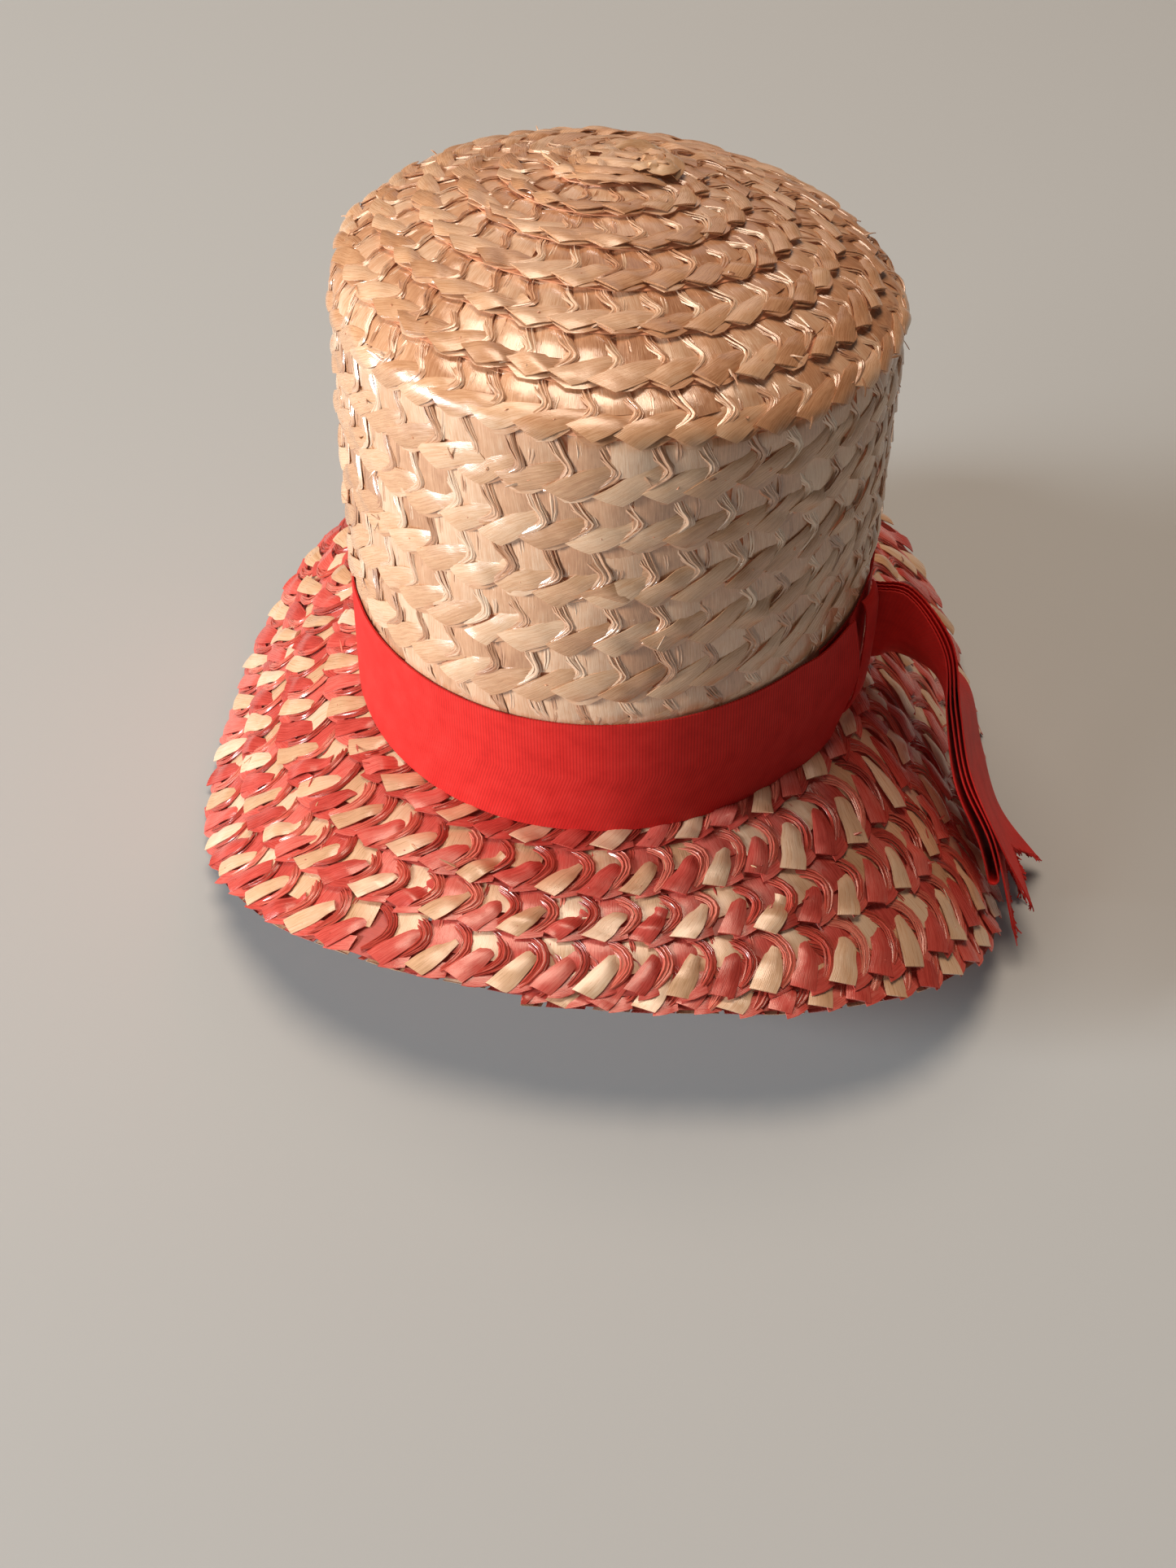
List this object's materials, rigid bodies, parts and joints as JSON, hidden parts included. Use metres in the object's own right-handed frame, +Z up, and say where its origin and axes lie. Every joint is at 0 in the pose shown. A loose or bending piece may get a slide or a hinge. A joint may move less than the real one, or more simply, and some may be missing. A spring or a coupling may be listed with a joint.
{
  "type": "straw hat with ribbon band and bow",
  "caption": "Tall round-topped hat of sewn straw plait, with a brim that droops at both sides and a coral grosgrain ribbon band ending in a side bow with notched tails.",
  "frame": {"origin": "middle of the whole outline seen from above, on the surface that the brim's two side lobes rest on", "axes": "+Z up through the crown, +X to the wearer's left, towards the bow, +Y to the back of the hat, the side away from the camera"},
  "size_m": [0.2936, 0.3182, 0.2273],
  "materials": {
    "straw": "natural straw plait, satin",
    "mixed_straw": "coral and natural straw plait, satin",
    "ribbon": "coral grosgrain, matte"
  },
  "bodies": {
    "root": {"crown": "straw", "brim": "mixed_straw", "hat_band": "ribbon", "bow_knot": "ribbon", "bow_loop": "ribbon", "tail_inner": "ribbon", "tail_outer": "ribbon"}
  },
  "joints": []
}
